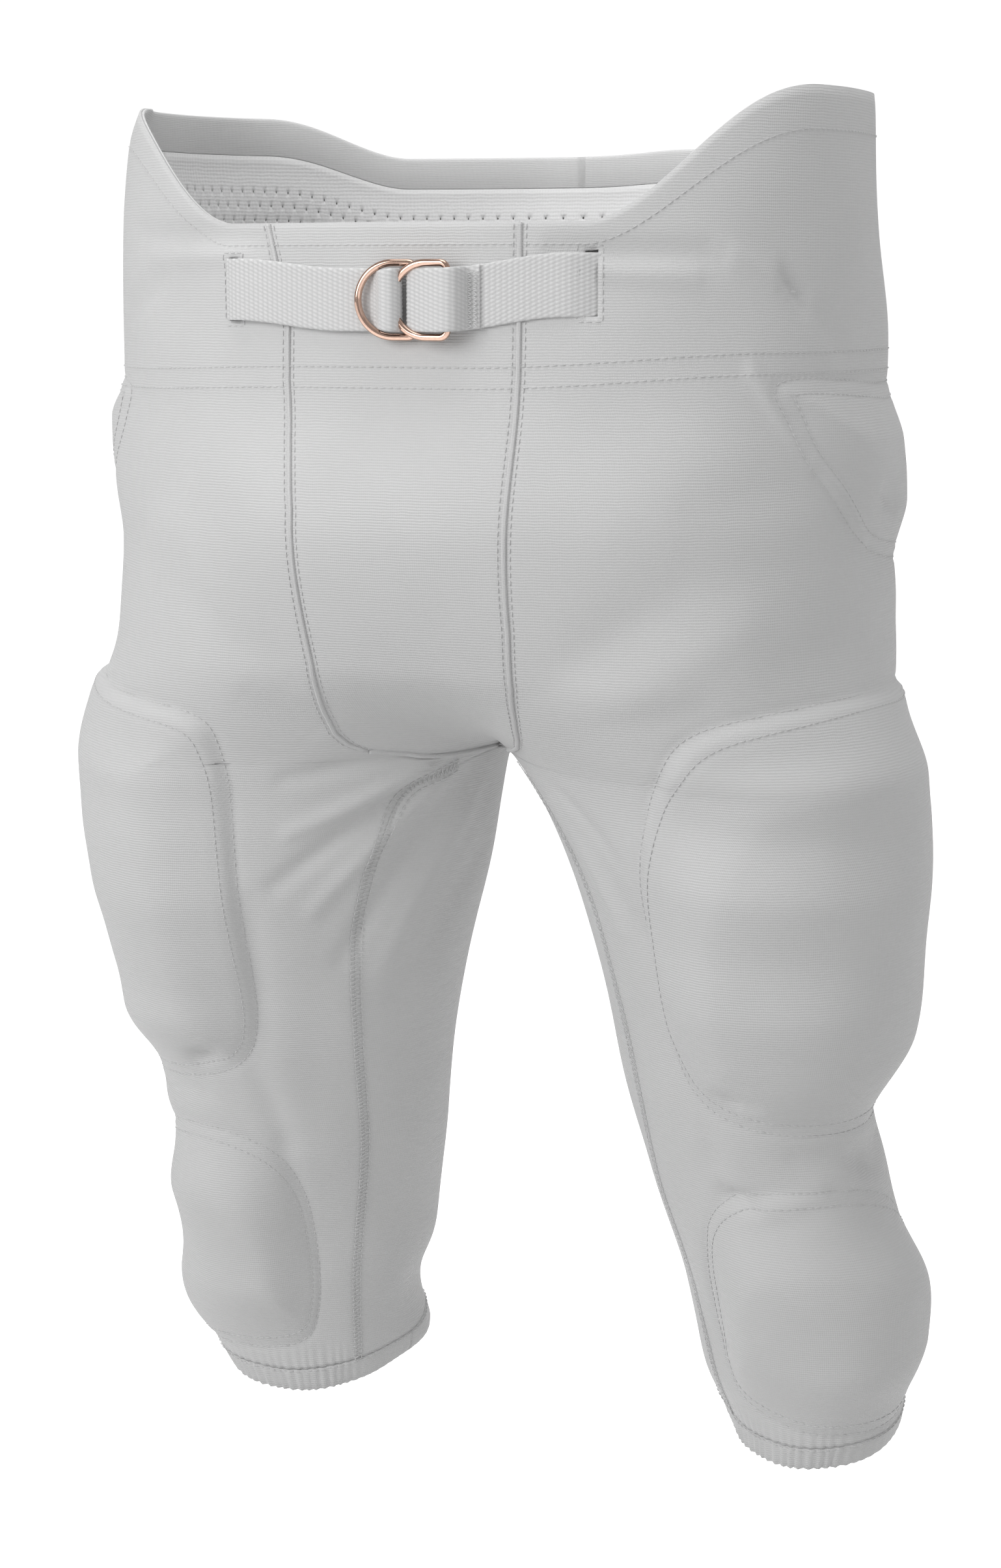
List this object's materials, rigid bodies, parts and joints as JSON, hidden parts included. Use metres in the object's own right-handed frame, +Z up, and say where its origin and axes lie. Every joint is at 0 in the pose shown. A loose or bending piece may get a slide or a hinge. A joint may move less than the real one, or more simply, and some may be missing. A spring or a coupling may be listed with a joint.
{
  "type": "padded sport pants",
  "caption": "Knee-length padded sport pants in stretch knit: panelled shell, pads in inner pockets, belt tunnel, webbing belt threaded through two D-rings, elastic hems.",
  "frame": {"origin": "middle of the waist opening, level with the top edge at the front", "axes": "+Z up out of the waist opening, +X to the wearer's left, -Y the front"},
  "size_m": [0.4036, 0.2699, 0.626],
  "materials": {
    "stretch_knit": "fine-ribbed stretch knit, pale grey-white, slight sheen",
    "mesh_lining": "perforated warp-knit mesh, matt",
    "foam": "closed-cell foam, perforated, matt",
    "webbing": "coarse plain-weave webbing, pale grey-white",
    "elastic_tape": "flat knitted elastic",
    "ring_metal": "polished plated steel wire, warm reflections",
    "thread": "polyester thread"
  },
  "bodies": {
    "pants": {"back_panel_left": "stretch_knit", "back_panel_right": "stretch_knit", "belt_webbing": "webbing", "front_gusset": "stretch_knit", "front_panel_left": "stretch_knit", "front_panel_right": "stretch_knit", "hem_band_left": "stretch_knit", "hem_band_right": "stretch_knit", "hem_elastic_left": "elastic_tape", "hem_elastic_right": "elastic_tape", "hip_pad_left": "foam", "hip_pad_right": "foam", "hip_pocket_lining_left": "mesh_lining", "hip_pocket_lining_right": "mesh_lining", "knee_pad_left": "foam", "knee_pad_right": "foam", "knee_pocket_lining_left": "mesh_lining", "knee_pocket_lining_right": "mesh_lining", "loop_bartack": "thread", "tail_pad": "foam", "tail_pocket_lining": "mesh_lining", "thigh_pad_left": "foam", "thigh_pad_right": "foam", "thigh_pocket_lining_left": "mesh_lining", "thigh_pocket_lining_right": "mesh_lining", "tunnel_facing_front": "stretch_knit", "waist_edge_elastic": "elastic_tape", "waist_lining_back": "mesh_lining"},
    "d_ring_strap_side": {"d_ring_strap_side": "ring_metal"},
    "d_ring_loop_side": {"d_ring_loop_side": "ring_metal"}
  },
  "joints": [
    {"name": "strap_side_ring_swing", "type": "hinge", "parent": "pants", "child": "d_ring_strap_side", "pos_m": [0.01107, -0.1143, -0.031], "axis": [0, 0, 1], "range_deg": [0, 18]},
    {"name": "loop_side_ring_swing", "type": "hinge", "parent": "pants", "child": "d_ring_loop_side", "pos_m": [0.02645, -0.11761, -0.031], "axis": [0, 0, 1], "range_deg": [0, 3]}
  ]
}
